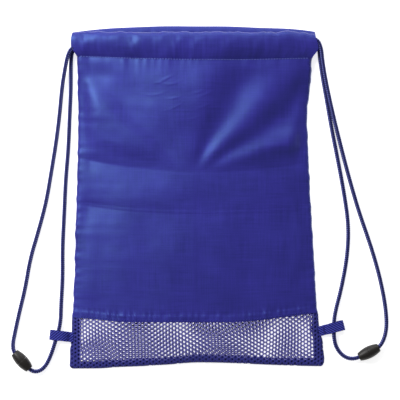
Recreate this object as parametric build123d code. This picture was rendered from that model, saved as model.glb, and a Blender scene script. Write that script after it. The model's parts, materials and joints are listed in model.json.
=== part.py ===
"""Drawstring backpack, lying on its back with the front panel up.

+X is to the wearer's right as seen from the front, +Y runs from the bottom seam to the mouth, and +Z is
up, out of the front panel. The origin is on the floor under the middle of the bag. Millimetres.

Each drawcord is one length: from its connector up beside the bag, across inside the front casing, round
the far corner, back inside the rear casing, down beside the bag, through the side loop and into the
connector again. It is made as one solid for each stretch.
"""

import math
import os

from build123d import *

# --- the bag's outline ---------------------------------------------------------------------------
BOTTOM_Y = -172.0
BAND_TOP_Y = -122.0  # where the mesh band meets the panel
HEM_Y = 143.0  # foot of the casings
FRONT_TOP_Y = 168.0
BACK_TOP_Y = 172.7  # the back lip stands a little past the front one
CASING_LEFT, CASING_RIGHT = -127.5, 123.0

# --- thicknesses ---------------------------------------------------------------------------------
CLOTH = 0.8
BINDING = 2.0  # folded seam allowances
BINDING_WIDTH = 10.0
CASING_THICK = 6.2
GAP = 0.3  # between the front half and what it lies on
THREAD_R = 0.3
BOTTOM_THREAD = (BOTTOM_Y - THREAD_R, CLOTH + BINDING - THREAD_R)  # y and z of the bottom seam's stitches

# --- the front half's arch, station by station: y, left edge, right edge, edge height, rise ------
FLANGE_Z = CLOTH + BINDING + GAP
STATIONS = [
    (BOTTOM_Y, -130.0, 130.0, FLANGE_Z, 0.6),
    (BAND_TOP_Y, -126.0, 123.0, FLANGE_Z, 10.0),
    (-60.0, -124.0, 118.5, FLANGE_Z, 16.0),
    (40.0, -121.0, 113.0, FLANGE_Z, 17.0),
    (105.0, -121.0, 113.5, FLANGE_Z, 16.0),
    (HEM_Y, -122.0, 117.0, 8.5, 11.0),
]
CASING_LOW = CASING_THICK + GAP  # underside of the front casing at its ends
CASING_ARCH = (CASING_LEFT, CASING_RIGHT, 11.0)  # its ends and its rise

# --- the drawcords -------------------------------------------------------------------------------
CORD_R = 2.0
TUNNEL_LEFT, TUNNEL_RIGHT = -119.8, 114.8  # the casings' closed tunnels; past them only a hood
RUN_GAP = 0.5  # between a run in the front casing, which lifts, and the cord outside it
LEFT_CORD_Y, RIGHT_CORD_Y = 153.0, 161.0  # the two cords side by side in each casing
BACK_CORD_Z = CASING_THICK / 2
FRONT_CORD_Z = CASING_LOW + CASING_THICK / 2
FLOOR_Z = CORD_R + 0.1  # a cord's centre where it lies on the floor

# --- the connectors: an olive in two halves that pull apart --------------------------------------
OLIVE_R = 6.2
OLIVE_END_R = 4.0
OLIVE_HALF = 11.25
OLIVE_DROP = OLIVE_R - OLIVE_END_R
OLIVE_FLANK_R = (OLIVE_HALF**2 + OLIVE_DROP**2) / (2 * OLIVE_DROP)
PARTING = 0.05  # half the gap between the halves
MOUTH_R, MOUTH_X = 3.2, 9.6  # the countersink at each end and how far in it ends
HOLE_R = 2.05
KNOT_R, KNOT_LENGTH = 2.8, 5.0
KNOT_X = 8.2  # the outer face of each knot, from the olive's middle
CAVITY_R = 2.9
SPIGOT_R, SPIGOT_LENGTH = 3.6, 4.5
SOCKET_R, SOCKET_DEPTH = 3.7, 5.0
STRAIGHT_X = 13.0  # where a cord leaves the olive's own axis

# --- the side loops: folded tape, sewn in the side seams -----------------------------------------
TAPE_WIDTH = 10.0
TAPE = 1.0
LOOP_R = 3.6  # outside of the fold, so the loop lies on the floor
LOOP_ROOT_R = 1.0
LOOP_ROOT_Z = 3.2
LOOP_BACK_X = 7.0  # where the loop has opened to its full height
LOOP_NECK_X = 3.2  # where its two plies part
NECK_R = 0.3
TACK_XS = (1.4, 2.1, 2.8)  # the bar tack's stitches, from the root
TACK_INSET = 1.2

# --- places of what comes in pairs ---------------------------------------------------------------
# side: loop's root in plan, loop's length, its tilt, and the connector's middle and the way from its
# socket to its plug, as an angle in plan
SIDES = {
    "left": {
        "root": (-129.1, -141.6),
        "length": 21.2,
        "tilt": 173.5,
        "olive": (-177.6, -165.6),
        "plug_way": -47.5,
    },
    "right": {
        "root": (127.0, -135.2),
        "length": 23.6,
        "tilt": 14.8,
        "olive": (174.3, -156.9),
        "plug_way": 206.5,
    },
}


def on_way(origin, degrees, distance, z):
    """A point at a distance from a plan point, along an angle in plan, at height z."""
    angle = math.radians(degrees)
    return (origin[0] + distance * math.cos(angle), origin[1] + distance * math.sin(angle), z)


def plug_side(side, distance):
    """A point on a connector's axis, counted from its middle towards the plug's end."""
    place = SIDES[side]
    return on_way(place["olive"], place["plug_way"], distance, OLIVE_R)


def beyond(before, point, distance):
    """A point past another one, straight on from the one before it."""
    start, through = Vector(*before), Vector(*point)
    return tuple(through + (through - start).normalized() * distance)


# --- the free cords' routes ----------------------------------------------------------------------
# Each inner cord crosses its loop here, level and heading down beside the bag.
LEFT_LOOP_ENTRY = (-138.6, -129.2, LOOP_R + 0.1)
LEFT_LOOP_POINT = (-142.2, -140.7, LOOP_R + 0.1)
RIGHT_LOOP_ENTRY = (138.7, -126.6, LOOP_R + 0.1)
RIGHT_LOOP_POINT = (139.0, -137.6, LOOP_R + 0.1)

ROUTES = {
    "left_cord_outer": [
        (TUNNEL_LEFT - RUN_GAP, LEFT_CORD_Y, 10.8),
        (-126.4, 152.0, 9.9),
        (-130.8, 145.0, 8.8),
        (-133.6, 132.0, 6.9),
        (-137.2, 112.0, 4.2),
        (-139.6, 86.0, 2.4),
        (-143.0, 58.0, FLOOR_Z),
        (-148.2, 26.0, FLOOR_Z),
        (-153.4, -5.0, FLOOR_Z),
        (-161.8, -36.0, FLOOR_Z),
        (-169.6, -62.0, FLOOR_Z),
        (-174.6, -92.0, FLOOR_Z),
        (-181.0, -118.0, FLOOR_Z),
        (-185.0, -137.0, 2.6),
        (-187.0, -147.6, 4.6),
        plug_side("left", -STRAIGHT_X),
        plug_side("left", -KNOT_X),
    ],
    "left_cord_inner_upper": [
        (TUNNEL_LEFT, LEFT_CORD_Y, BACK_CORD_Z),
        (-124.6, LEFT_CORD_Y, BACK_CORD_Z),
        (-127.6, 146.4, 3.0),
        (-128.4, 134.0, 2.4),
        (-128.2, 112.0, FLOOR_Z),
        (-129.6, 82.0, FLOOR_Z),
        (-130.8, 50.0, FLOOR_Z),
        (-133.6, 18.0, FLOOR_Z),
        (-135.0, -16.0, FLOOR_Z),
        (-136.8, -50.0, FLOOR_Z),
        (-136.6, -82.0, FLOOR_Z),
        (-138.2, -108.0, 2.4),
        LEFT_LOOP_ENTRY,
        LEFT_LOOP_POINT,
    ],
    "left_cord_inner_lower": [
        LEFT_LOOP_POINT,
        beyond(LEFT_LOOP_ENTRY, LEFT_LOOP_POINT, 10.0),
        (-149.0, -161.4, 2.3),
        (-153.3, -170.2, 2.6),
        (-158.4, -175.4, 3.7),
        (-164.0, -176.9, 5.0),
        plug_side("left", STRAIGHT_X),
        plug_side("left", KNOT_X),
    ],
    "right_cord_outer": [
        (TUNNEL_RIGHT + RUN_GAP, RIGHT_CORD_Y, 10.9),
        (121.6, 160.2, 9.9),
        (125.6, 152.0, 9.0),
        (127.0, 139.0, 7.6),
        (130.0, 121.0, 6.6),
        (134.6, 98.6, 6.3),
        (140.4, 74.0, 5.2),
        (147.6, 46.0, 2.9),
        (155.6, 16.0, FLOOR_Z),
        (165.0, -16.0, FLOOR_Z),
        (175.6, -46.0, FLOOR_Z),
        (184.6, -76.0, FLOOR_Z),
        (190.6, -104.0, FLOOR_Z),
        (193.0, -126.0, 2.2),
        (191.4, -140.0, 3.4),
        plug_side("right", -STRAIGHT_X),
        plug_side("right", -KNOT_X),
    ],
    "right_cord_inner_upper": [
        (TUNNEL_RIGHT, RIGHT_CORD_Y, BACK_CORD_Z),
        (120.8, RIGHT_CORD_Y, BACK_CORD_Z),
        (124.0, 153.4, 3.0),
        (124.8, 141.0, 2.7),
        (127.6, 122.0, FLOOR_Z),
        (132.0, 98.0, FLOOR_Z),
        (136.8, 70.0, FLOOR_Z),
        (142.8, 40.0, FLOOR_Z),
        (149.2, 6.0, FLOOR_Z),
        (154.2, -28.0, FLOOR_Z),
        (152.8, -60.0, FLOOR_Z),
        (146.8, -92.0, FLOOR_Z),
        (141.2, -113.0, 2.5),
        RIGHT_LOOP_ENTRY,
        RIGHT_LOOP_POINT,
    ],
    "right_cord_inner_lower": [
        RIGHT_LOOP_POINT,
        beyond(RIGHT_LOOP_ENTRY, RIGHT_LOOP_POINT, 9.6),
        (144.2, -156.8, 2.6),
        (150.0, -161.9, 3.6),
        (156.4, -163.7, 5.0),
        plug_side("right", STRAIGHT_X),
        plug_side("right", KNOT_X),
    ],
}


# --- cloth ---------------------------------------------------------------------------------------
def arch_height(x, left, right, rise):
    """Height above its own ends, at x, of a circular arch that spans from left to right."""
    half = (right - left) / 2
    radius = (half**2 + rise**2) / (2 * rise)
    return rise - radius + math.sqrt(radius**2 - (x - (left + right) / 2) ** 2)


def arch_edge(y, left, right, low, arch):
    """The stretch from left to right of an arch (its left end, right end and rise) at one y."""
    xs = (left, (left + right) / 2, right)
    return Edge.make_three_point_arc(*[Vector(x, y, low + arch_height(x, *arch)) for x in xs])


def crescent(y, left, right, low, thick, arch):
    """An arched strip's cross-section at one y: two equal arcs, thick apart, closed at its ends."""
    under = arch_edge(y, left, right, low, arch)
    over = arch_edge(y, left, right, low + thick, arch)
    ends = [Edge.make_line(under @ k, over @ k) for k in (0, 1)]
    return Face(Wire([under, ends[1], over, ends[0]]))


def station(y):
    """The outline at any y, in proportion between the stations beside it."""
    for below, above in zip(STATIONS, STATIONS[1:]):
        if below[0] <= y <= above[0]:
            share = (y - below[0]) / (above[0] - below[0])
            return tuple(a + share * (b - a) for a, b in zip(below, above))
    raise ValueError(f"no station near y = {y}")


def front_shell(bottom, top):
    """The front half's cloth between two y values."""
    ys = [bottom] + [s[0] for s in STATIONS if bottom < s[0] < top] + [top]
    sections = []
    for y in ys:
        _, left, right, low, rise = station(y)
        sections.append(crescent(y, left, right, low, CLOTH, (left, right, rise)))
    return loft(sections, ruled=True)


def plate(points, low, thick):
    """A flat plate from its outline in plan."""
    outline = Face(Wire.make_polygon([Vector(x, y, low) for x, y in points], close=True))
    return extrude(outline, amount=thick, dir=(0, 0, 1))


def edge_points(side, bottom, top, inset=0.0):
    """The side edge's points in plan, from bottom to top, moved in towards the middle."""
    column, sign = (1, 1) if side == "left" else (2, -1)
    ys = [bottom] + [s[0] for s in STATIONS if bottom < s[0] < top] + [top]
    return [(station(y)[column] + sign * inset, y) for y in ys]


def back_cloth(bottom, top):
    """The back's cloth between two y values, flat on the floor."""
    return plate(edge_points("left", bottom, top) + edge_points("right", bottom, top)[::-1], 0, CLOTH)


def side_binding(side):
    """The folded seam allowance along one side, on the back panel's inner face."""
    low, high = BOTTOM_Y + BINDING_WIDTH, HEM_Y
    outer = edge_points(side, low, high)
    inner = edge_points(side, low, high, BINDING_WIDTH)
    return plate(outer + inner[::-1], CLOTH, BINDING)


def bottom_binding():
    """The folded seam allowance along the bottom."""
    top = BOTTOM_Y + BINDING_WIDTH
    ends = edge_points("left", BOTTOM_Y, top) + edge_points("right", BOTTOM_Y, top)[::-1]
    return plate(ends, CLOTH, BINDING)


def back_casing():
    """The rear casing: a flat tube across the bag, open at both ends under a hood."""
    def block(left, right, bottom, top, low, high):
        box = Box(right - left, top - bottom, high - low, align=(Align.MIN, Align.MIN, Align.MIN))
        return Pos(left, bottom, low) * box

    inner_top, inner_bottom = BACK_TOP_Y - CLOTH, HEM_Y + CLOTH
    past = 2.0
    body = block(CASING_LEFT, CASING_RIGHT, HEM_Y, BACK_TOP_Y, 0, CASING_THICK)
    tunnel = block(
        CASING_LEFT - past, CASING_RIGHT + past, inner_bottom, inner_top, CLOTH, CASING_THICK - CLOTH
    )
    ends = [
        block(CASING_LEFT - past, TUNNEL_LEFT, HEM_Y - past, inner_top, CLOTH, CASING_THICK + past),
        block(TUNNEL_RIGHT, CASING_RIGHT + past, HEM_Y - past, inner_top, CLOTH, CASING_THICK + past),
    ]
    return body - tunnel - ends[0] - ends[1]


def front_casing():
    """The front casing: the same tube, arched up so that the mouth stands a little open."""

    def block(left, right, bottom, top, low, high):
        face = crescent(bottom, left, right, low, high - low, CASING_ARCH)
        return extrude(face, amount=top - bottom, dir=(0, 1, 0))

    inner_top, inner_bottom = FRONT_TOP_Y - CLOTH, HEM_Y + CLOTH
    past = 2.0
    low, high = CASING_LOW, CASING_LOW + CASING_THICK
    body = block(CASING_LEFT, CASING_RIGHT, HEM_Y, FRONT_TOP_Y, low, high)
    tunnel = block(
        CASING_LEFT - past, CASING_RIGHT + past, inner_bottom, inner_top, low + CLOTH, high - CLOTH
    )
    ends = [
        block(CASING_LEFT - past, TUNNEL_LEFT, HEM_Y - past, inner_top, low - past, high - CLOTH),
        block(TUNNEL_RIGHT, CASING_RIGHT + past, HEM_Y - past, inner_top, low - past, high - CLOTH),
    ]
    return body - tunnel - ends[0] - ends[1]


# --- threads -------------------------------------------------------------------------------------
def round_bar(path, radius):
    """A round bar along a path."""
    return sweep(Plane(origin=path @ 0, z_dir=path % 0) * Circle(radius), path=path)


def straight_thread(start, end):
    """A run of stitches laid as one thin straight bar."""
    return round_bar(Edge.make_line(Vector(*start), Vector(*end)), THREAD_R)


def front_thread(y, inset=4.0):
    """A run of stitches across the front, just above its cloth."""
    _, left, right, low, rise = station(y)
    clear = low + CLOTH + THREAD_R + 0.05
    return round_bar(arch_edge(y, left + inset, right - inset, clear, (left, right, rise)), THREAD_R)


def back_thread(y, inset=12.0):
    """A run of stitches across the back, on the inner face of its cloth."""
    _, left, right, _, _ = station(y)
    height = CLOTH + THREAD_R
    return straight_thread((left + inset, y, height), (right - inset, y, height))


def side_thread(side, inset=6.0, bottom=-138.0, top=104.0):
    """A run of stitches along one side binding."""
    points = edge_points(side, bottom, top, inset)
    height = CLOTH + BINDING + THREAD_R
    runs = [
        straight_thread((*a, height), (*b, height)) for a, b in zip(points, points[1:])
    ]
    joints = [Pos(x, y, height) * Sphere(THREAD_R) for x, y in points[1:-1]]
    whole = runs[0]
    for piece in runs[1:] + joints:
        whole = whole + piece
    return whole


def bottom_thread(inset=6.0):
    """The bottom seam's stitches, on the line about which the front half lifts."""
    y, z = BOTTOM_THREAD
    return straight_thread((STATIONS[0][1] + inset, y, z), (STATIONS[0][2] - inset, y, z))


# --- side loops ----------------------------------------------------------------------------------
def loop_frame(side):
    """A loop's own frame: x out from its root, y across the tape, z up."""
    place = SIDES[side]
    return Pos(*place["root"], 0) * Rot(0, 0, place["tilt"])


def side_loop(side):
    """Folded tape: a round root in the side seam, and a loop that the cord passes through."""
    far = SIDES[side]["length"] - LOOP_R

    def outline(circles):
        edges = [Pos(x, z) * Circle(r) for x, z, r in circles]
        return make_hull([edge for circle in edges for edge in circle.edges()])

    inner_r = LOOP_R - TAPE
    root, neck = (0, LOOP_ROOT_Z, LOOP_ROOT_R), (LOOP_NECK_X, LOOP_ROOT_Z, NECK_R)
    tape = outline([root, (LOOP_BACK_X, LOOP_R, LOOP_R), (far, LOOP_R, LOOP_R)])
    inside = outline([neck, (LOOP_BACK_X, LOOP_R, inner_r), (far, LOOP_R, inner_r)])
    upright = Pos(0, TAPE_WIDTH / 2, 0) * Rot(90, 0, 0)
    return loop_frame(side) * (upright * extrude(tape - inside, amount=TAPE_WIDTH))


def loop_top(x):
    """Height of a loop's upper ply near its root, where it runs straight between its two rounds."""
    rise = LOOP_R - LOOP_ROOT_Z
    reach = math.hypot(LOOP_BACK_X, rise)
    slope = math.atan2(rise, LOOP_BACK_X) + math.asin((LOOP_R - LOOP_ROOT_R) / reach)
    return LOOP_ROOT_Z + LOOP_ROOT_R / math.cos(slope) + x * math.tan(slope)


def loop_bar_tack(side):
    """The close stitches that hold the tape's two plies together at its root."""
    across = TAPE_WIDTH / 2 - TACK_INSET
    bars = []
    for x in TACK_XS:
        height = loop_top(x) + 1.3 * THREAD_R
        bars.append(straight_thread((x, -across, height), (x, across, height)))
    return loop_frame(side) * Compound(children=bars)


# --- connectors ----------------------------------------------------------------------------------
def turned(profile):
    """A solid of revolution about the X axis, from an outline whose second coordinate is radius."""
    return revolve(Plane.XZ * make_face(profile), Axis.X)


def olive_radius(x):
    """The olive's outer radius at a distance from its middle."""
    return OLIVE_R - OLIVE_FLANK_R + math.sqrt(OLIVE_FLANK_R**2 - x**2)


def olive_outline(sign, bore):
    """Half an olive's outline in (x, radius): flank, end, countersink, hole and then its own bore."""
    top, shoulder, end = ((sign * x, olive_radius(x)) for x in (PARTING, OLIVE_HALF / 2, OLIVE_HALF))
    flank = ThreePointArc(top, shoulder, end)
    rest = [
        end,
        (sign * OLIVE_HALF, MOUTH_R),
        (sign * MOUTH_X, HOLE_R),
        (sign * KNOT_X, HOLE_R),
        (sign * KNOT_X, CAVITY_R),
        *bore,
        top,
    ]
    return flank + Polyline(*rest)


def olive_frame(side):
    """A connector's own frame: x from its socket to its plug."""
    place = SIDES[side]
    return Pos(*place["olive"], OLIVE_R) * Rot(0, 0, place["plug_way"])


def plug_half(side):
    """The half with the spigot, on the inner cord's end."""
    bore = [(-SPIGOT_LENGTH, CAVITY_R), (-SPIGOT_LENGTH, SPIGOT_R), (PARTING, SPIGOT_R)]
    return olive_frame(side) * turned(olive_outline(1, bore))


def socket_half(side):
    """The half that the spigot snaps into, on the outer cord's end."""
    bore = [(-SOCKET_DEPTH, CAVITY_R), (-SOCKET_DEPTH, SOCKET_R), (-PARTING, SOCKET_R)]
    return olive_frame(side) * turned(olive_outline(-1, bore))


def cord_knot(side, sign):
    """The pressed knot that keeps a cord's end inside its half."""
    middle = sign * (KNOT_X - KNOT_LENGTH / 2)
    knot = fillet(Cylinder(KNOT_R, KNOT_LENGTH).edges(), KNOT_R - CORD_R)
    return olive_frame(side) * (Pos(middle, 0, 0) * Rot(0, 90, 0) * knot)


# --- cords ---------------------------------------------------------------------------------------
def corner_radii(points):
    """The largest radii that a route's corners take: 0.45 of the shorter run over tan(half turn)."""
    vectors = [Vector(*p) for p in points]
    radii = []
    for before, here, after in zip(vectors, vectors[1:], vectors[2:]):
        turn = math.radians((here - before).get_angle(after - here))
        shorter = min((here - before).length, (after - here).length)
        radii.append(0.45 * shorter / math.tan(turn / 2))
    return radii


def free_cord(name):
    """One free stretch of cord: straight runs joined by tangent arcs."""
    points = ROUTES[name]
    radii = corner_radii(points)
    path = FilletPolyline(*points, radius=radii)
    solid = round_bar(path, CORD_R)
    share = solid.volume / (math.pi * CORD_R**2 * path.length)
    print(f"{name}: {path.length:.1f} mm, volume share {share:.4f}, radii {[round(r, 1) for r in radii]}")
    return solid


def front_run(y):
    """A cord's stretch inside the front casing, along its arch."""
    path = arch_edge(y, TUNNEL_LEFT, TUNNEL_RIGHT, FRONT_CORD_Z, CASING_ARCH)
    print(f"front run at y {y}: {path.length:.1f} mm")
    return round_bar(path, CORD_R)


def back_run(exit_x, turn_x, y):
    """A cord's stretch inside the rear casing, from its free end's exit to its turn."""
    path = Edge.make_line(Vector(exit_x, y, BACK_CORD_Z), Vector(turn_x, y, BACK_CORD_Z))
    print(f"back run at y {y}: {path.length:.1f} mm")
    return round_bar(path, CORD_R)


def corner_turn(x, y, outward):
    """The bend by which a cord passes from the front casing to the rear one at its far corner."""
    top = FRONT_CORD_Z + arch_height(x, *CASING_ARCH)
    half = (top - BACK_CORD_Z) / 2
    bend = Edge.make_three_point_arc(
        Vector(x, y, top), Vector(x + outward * half, y, BACK_CORD_Z + half), Vector(x, y, BACK_CORD_Z)
    )
    print(f"corner turn at x {x}: radius {half:.2f} mm, {bend.length:.1f} mm")
    return round_bar(bend, CORD_R)


def all_nodes():
    """Every node of the bag by name."""
    nodes = {
        "back_panel": back_cloth(BAND_TOP_Y, HEM_Y),
        "back_mesh_band": back_cloth(BOTTOM_Y, BAND_TOP_Y),
        "back_hem_casing": back_casing(),
        "front_panel": front_shell(BAND_TOP_Y, HEM_Y),
        "front_mesh_band": front_shell(BOTTOM_Y, BAND_TOP_Y),
        "front_hem_casing": front_casing(),
        "bottom_binding": bottom_binding(),
        "bottom_thread": bottom_thread(),
        "front_hem_thread": front_thread(HEM_Y - 2.0),
        "front_band_thread": front_thread(BAND_TOP_Y + 2.0),
        "back_hem_thread": back_thread(HEM_Y - 2.0),
        "back_band_thread": back_thread(BAND_TOP_Y + 2.0),
    }
    for side in SIDES:
        nodes[f"{side}_side_binding"] = side_binding(side)
        nodes[f"{side}_side_thread"] = side_thread(side)
        nodes[f"{side}_side_loop"] = side_loop(side)
        nodes[f"{side}_loop_bar_tack"] = loop_bar_tack(side)
        nodes[f"{side}_connector_plug"] = plug_half(side)
        nodes[f"{side}_connector_socket"] = socket_half(side)
        nodes[f"{side}_plug_knot"] = cord_knot(side, 1)
        nodes[f"{side}_socket_knot"] = cord_knot(side, -1)
    for side, y, exit_x, far_x, outward in (
        ("left", LEFT_CORD_Y, TUNNEL_LEFT, TUNNEL_RIGHT, 1),
        ("right", RIGHT_CORD_Y, TUNNEL_RIGHT, TUNNEL_LEFT, -1),
    ):
        turn_x = far_x + outward * RUN_GAP
        nodes[f"{side}_cord_front_run"] = front_run(y)
        nodes[f"{side}_cord_back_run"] = back_run(exit_x, turn_x, y)
        nodes[f"{side}_cord_turn"] = corner_turn(turn_x, y, outward)
    for name in ROUTES:
        nodes[name] = free_cord(name)
    return nodes


os.makedirs("parts", exist_ok=True)
for name, shape in all_nodes().items():
    export_step(shape, f"parts/{name}.step")
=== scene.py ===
"""Drawstring backpack: the looks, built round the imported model. Shapes are in millimetres until meshed."""
import json
import math

import bpy
import numpy as np
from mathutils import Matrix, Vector


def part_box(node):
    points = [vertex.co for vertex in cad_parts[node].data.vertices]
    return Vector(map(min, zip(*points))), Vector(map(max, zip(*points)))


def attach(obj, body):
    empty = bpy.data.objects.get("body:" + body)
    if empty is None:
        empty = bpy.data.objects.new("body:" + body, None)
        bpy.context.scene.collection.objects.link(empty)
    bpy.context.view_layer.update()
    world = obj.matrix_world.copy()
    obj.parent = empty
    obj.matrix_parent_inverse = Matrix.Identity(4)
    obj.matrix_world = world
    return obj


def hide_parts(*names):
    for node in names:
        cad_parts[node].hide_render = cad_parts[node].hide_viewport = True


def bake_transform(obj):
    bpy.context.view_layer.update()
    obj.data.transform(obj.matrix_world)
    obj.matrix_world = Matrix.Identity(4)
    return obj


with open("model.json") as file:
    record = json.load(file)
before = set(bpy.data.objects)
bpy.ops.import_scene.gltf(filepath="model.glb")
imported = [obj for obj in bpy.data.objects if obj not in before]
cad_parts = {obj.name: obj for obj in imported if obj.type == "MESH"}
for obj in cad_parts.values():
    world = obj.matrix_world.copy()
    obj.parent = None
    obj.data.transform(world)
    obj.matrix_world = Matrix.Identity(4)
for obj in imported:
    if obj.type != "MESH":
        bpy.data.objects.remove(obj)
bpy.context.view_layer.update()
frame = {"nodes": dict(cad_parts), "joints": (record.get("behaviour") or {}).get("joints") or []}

CREASE_X = -4.0  # the pressed crease down the middle, where the front's two halves meet
SEWN_X = 118.0  # about where the side seams are
CORD_D = 4.0
HIDDEN_D = 3.5  # the cords' width inside the casings, where they are pressed a little
CLOTH = 0.35  # the taffeta's thickness, coating and all
MM = 0.001  # metres


# --- numbers ---
def share_of(t):
    return np.clip(t, 0, 1)


def smooth(t):
    t = share_of(t)
    return t * t * (3 - 2 * t)


def bell(t):
    return np.exp(-np.square(t))


def through(table, at):
    """A smooth line through (place, value) pairs."""
    xs, ys = np.array(table, float).T
    slopes = np.gradient(ys, xs)
    at = np.asarray(at, float)
    i = np.clip(np.searchsorted(xs, at) - 1, 0, len(xs) - 2)
    step = xs[i + 1] - xs[i]
    t = share_of((at - xs[i]) / step)
    return (
        (2 * t**3 - 3 * t**2 + 1) * ys[i]
        + (t**3 - 2 * t**2 + t) * step * slopes[i]
        + (3 * t**2 - 2 * t**3) * ys[i + 1]
        + (t**3 - t**2) * step * slopes[i + 1]
    )


def rounding(t):
    """A quarter circle's height, 1 at t = 0 and 0 from t = 1 on."""
    return np.sqrt(share_of(1 - share_of(t) ** 2))


def unit(vectors):
    return vectors / np.linalg.norm(vectors, axis=-1, keepdims=True)


def waves(x, y, length, seed, count=7):
    """Soft unevenness of about that length, the same each run."""
    r = np.random.default_rng(seed)
    total = 0.0
    for _ in range(count):
        a, k = r.uniform(0, math.tau), math.tau / (length * r.uniform(0.7, 1.6))
        total = total + np.sin(k * (x * math.cos(a) + y * math.sin(a)) + r.uniform(0, math.tau))
    return total / math.sqrt(count)


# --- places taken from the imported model, in millimetres ---
def corners(name):
    """A node's lowest and highest corners."""
    low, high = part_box(name)
    return np.array(low) * 1000, np.array(high) * 1000


def node_points(name):
    return np.array([v.co for v in frame["nodes"][name].data.vertices]) * 1000


def plan_edges(*names):
    """The bag's left and right edges, as (along, across) pairs, at each turn of its back's outline."""
    points = np.concatenate([node_points(name) for name in names])
    turns = np.unique(points[:, 1].round(1))
    rows = [points[np.abs(points[:, 1] - y) < 0.2, 0] for y in turns]
    return [(y, row.min()) for y, row in zip(turns, rows)], [(y, row.max()) for y, row in zip(turns, rows)]


LEFT_TURNS, RIGHT_TURNS = plan_edges("back_mesh_band", "back_panel")
BOTTOM_Y = corners("back_mesh_band")[0][1]
BAND_Y = corners("back_panel")[0][1]
(CASING_LEFT, HEM_Y, CASING_LOW_Z), (CASING_RIGHT, FRONT_TOP_Y, CASING_TOP_Z) = corners("front_hem_casing")
BACK_TOP_Y, CASING_THICK = corners("back_hem_casing")[1][1:]
CASING_RISE = CASING_TOP_Z - CASING_LOW_Z - CASING_THICK
BINDING_LOW_Z, BINDING_TOP_Z = (corners("left_side_binding")[k][2] for k in (0, 1))
BINDING_WIDTH = corners("bottom_binding")[1][1] - BOTTOM_Y
CREST_Z = corners("front_panel")[1][2]
JOINTS = {joint["name"]: joint for joint in frame["joints"]}


# --- the bag's outline and seams ---
CORNER_R = 4.0  # the rounding of the bottom corners
FOOT_FOLD = 7.6  # how far the mesh is folded over along the bottom seam
# how far the cloth's edges stand out from the straight cut: (place along, reach, outwards)
LEFT_BOWS = [(-126.0, 26.0, 1.1), (0.0, 80.0, 0.8), (118.0, 14.0, 0.5)]
RIGHT_BOWS = [(-147.0, 14.0, 1.5), (0.0, 80.0, 0.8), (76.0, 24.0, -0.9), (118.0, 13.0, 1.3)]


def side_edge(turns, bows, y, seed, low):
    """How far out from the middle one side edge is; low is the bottom seam beside it."""
    out = np.abs(through(turns, y))
    for length, height, draw in ((24.0, 0.28, seed), (9.0, 0.20, seed + 6)):
        out = out + height * waves(y, 0, length, draw)
    for place, reach, height in bows:
        out = out + height * bell((y - place) / reach)
    return out - CORNER_R * (1 - rounding((low + CORNER_R - y) / CORNER_R))


def left_edge(y):
    return -side_edge(LEFT_TURNS, LEFT_BOWS, np.asarray(y, float), 16, bottom_edge(-SEWN_X))


def right_edge(y):
    return side_edge(RIGHT_TURNS, RIGHT_BOWS, np.asarray(y, float), 17, bottom_edge(SEWN_X))


def bottom_edge(x):
    """The bottom seam, drawn up in the middle."""
    reach = np.where(x > 4, 75.0, 58.0)
    return BOTTOM_Y + 4.3 * bell((x - 4) / reach) - 1.0 * smooth(-x / 30) - 1.1 * smooth((-x - 76) / 26)


def band_seam(x):
    """Where the panel meets the mesh: it sags at the left and climbs at the right."""
    return BAND_Y - 4.0 * smooth((x + 125) / 60) + 9.5 * smooth((x - 30) / 110)


def hem_seam(x):
    """The hem's stitch line, which dips in the middle."""
    return HEM_Y - 3.6 + 4.0 * np.square((x - 15) / 130)


def front_lip(x):
    ripple = 1.9 * bell((x + 108) / 14) + 1.4 * bell((x - 94) / 10) + 0.35 * waves(x, 0, 42.0, 18)
    ripple = ripple + 0.40 * waves(x, 0, 11.0, 28)
    return FRONT_TOP_Y - 1.3 + ripple - 1.4 * smooth((x - 108) / 15)


def back_lip(x):
    """The back's lip, which arches up behind the front's."""
    t = np.clip((2 * x - CASING_LEFT - CASING_RIGHT) / (CASING_RIGHT - CASING_LEFT), -1, 1)
    return BACK_TOP_Y + 1.3 - 6.0 * np.abs(t) ** 3.0 + 0.35 * waves(x, 0, 60.0, 19)


def casing_end(side, y):
    """A casing's end: it flares from the side edge to its full width and draws in towards the lip."""
    edge, end = (left_edge(HEM_Y), CASING_LEFT) if side == "left" else (right_edge(HEM_Y), CASING_RIGHT)
    draw = 1.6 * smooth((y - HEM_Y - 15) / 12) if side == "left" else -3.2 * smooth((y - HEM_Y - 9) / 14)
    return edge + (end - edge) * smooth((y - HEM_Y - 1) / 10) + draw


def right_slant(y):
    """How much narrower the right side's fold is towards the top of the mesh."""
    return 3.8 * smooth((y + 150) / 38)


def window_inset(x, y):
    """How far a point is inside the single-layer mesh, from the nearest folded edge."""
    left = x - left_edge(y) - BINDING_WIDTH + 0.5
    right = right_edge(y) - x - BINDING_WIDTH + 0.8 + right_slant(y)
    return np.minimum(np.minimum(left, right), y - bottom_edge(x) - FOOT_FOLD + 0.2)


def side_inset(x, y):
    return np.minimum(x - left_edge(y), right_edge(y) - x)


def crown(x, left, right, rise, power=2.3):
    t = np.clip((2 * x - left - right) / (right - left), -1, 1)
    return rise * (1 - np.abs(t) ** power)


def casing_arch(x):
    return crown(x, CASING_LEFT, CASING_RIGHT, CASING_RISE, 2.0)


# --- the front's folds ---
FAN_X, FAN_Y = -8.0, 14.0  # the point that the pulled folds run towards
FAN_REACH = 115  # past this far from it the folds get no higher
# the fan's folds: an angle at that point, and the height there at 100 mm from it
FAN = [
    (-20.0, 3.0), (-4.0, 3.6), (12.0, 4.6), (22.0, 5.8), (36.0, -1.8), (46.0, 2.8), (63.0, -2.4), (79.0, 4.6),
    (98.0, 4.8), (114.0, 1.6), (130.0, -1.0), (139.0, 3.0), (150.0, 3.4), (160.0, 2.2), (168.0, 3.2),
    (174.0, 4.0), (180.0, 3.4),
]
WRINKLES = 11  # fine creases at the top of the middle


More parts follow.
